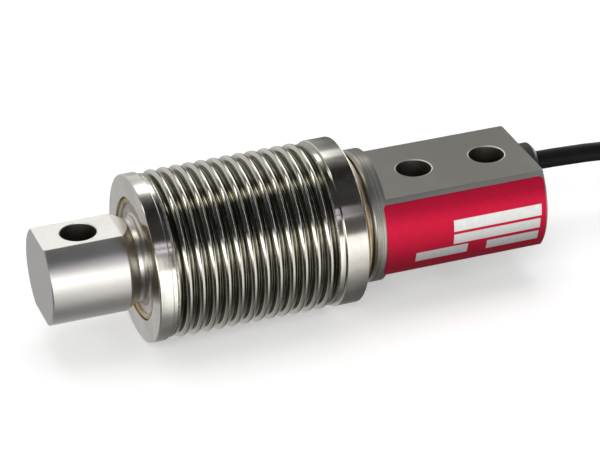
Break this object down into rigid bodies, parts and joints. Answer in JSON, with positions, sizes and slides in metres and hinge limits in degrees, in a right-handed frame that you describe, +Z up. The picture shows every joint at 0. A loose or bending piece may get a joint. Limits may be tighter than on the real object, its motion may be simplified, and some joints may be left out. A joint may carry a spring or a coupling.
{
  "type": "weighing load cell",
  "caption": "Bellows-sealed bending beam load cell with a load hole at one end, a two-hole mounting end, a round gland and a put-away cable.",
  "frame": {"origin": "midway between the two mounting holes, on the lower mounting flat", "axes": "+X along the bar from the load end to the cable end, +Y to the far side, +Z up"},
  "size_m": [0.3486, 0.0462, 0.0426],
  "materials": {
    "body_steel": "fine satin turned and milled stainless steel",
    "ring_steel": "polished stainless steel",
    "bellows_steel": "polished thin stainless steel",
    "weld_steel": "weld bead with straw and brown heat tint",
    "label": "printed crimson film with blank silver-grey fields",
    "gland": "dark satin coating",
    "gland_rubber": "matte seal",
    "washer_brass": "plain turned brass",
    "potting": "dark potting resin",
    "sealant": "white silicone sealant",
    "gauge_film": "amber polyimide film",
    "terminal_pad": "green glass-fibre strip",
    "board": "green solder mask",
    "resistor": "black glazed chip resistor",
    "post_brass": "plain turned brass",
    "lead_metal": "tinned copper",
    "wire_sheath": "grey thin-wall insulation",
    "jacket": "matte black cable jacket",
    "tie": "black nylon",
    "sleeve": "black shrink sleeve",
    "core_red": "red insulation",
    "core_white": "white insulation",
    "core_green": "green insulation",
    "core_black": "black insulation"
  },
  "bodies": {
    "root": {"beam_body": "body_steel", "front_end_ring": "ring_steel", "rear_end_ring": "ring_steel", "front_weld_bead": "weld_steel", "rear_weld_bead": "weld_steel", "bellows": "bellows_steel", "gauge_leads": "lead_metal", "bridge_wires": "wire_sheath", "compensation_board": "board", "trim_resistors": "resistor", "solder_posts": "post_brass", "inner_cores": "wire_sheath", "channel_sealant": "sealant", "gland_body": "gland", "gland_seal": "gland_rubber", "gland_washer": "washer_brass", "potting_plug": "potting", "nameplate": "label", "cable": "jacket", "cable_hank": "jacket", "cable_tail": "jacket", "hank_ties": "tie", "end_sleeve": "sleeve", "tinned_tips": "lead_metal", "drain_wire": "lead_metal", "terminal_strip_top": "terminal_pad", "strain_gauge_top_front": "gauge_film", "strain_gauge_top_rear": "gauge_film", "terminal_strip_bottom": "terminal_pad", "strain_gauge_bottom_front": "gauge_film", "strain_gauge_bottom_rear": "gauge_film", "core_red": "core_red", "core_white": "core_white", "core_green": "core_green", "core_black": "core_black"}
  },
  "joints": []
}
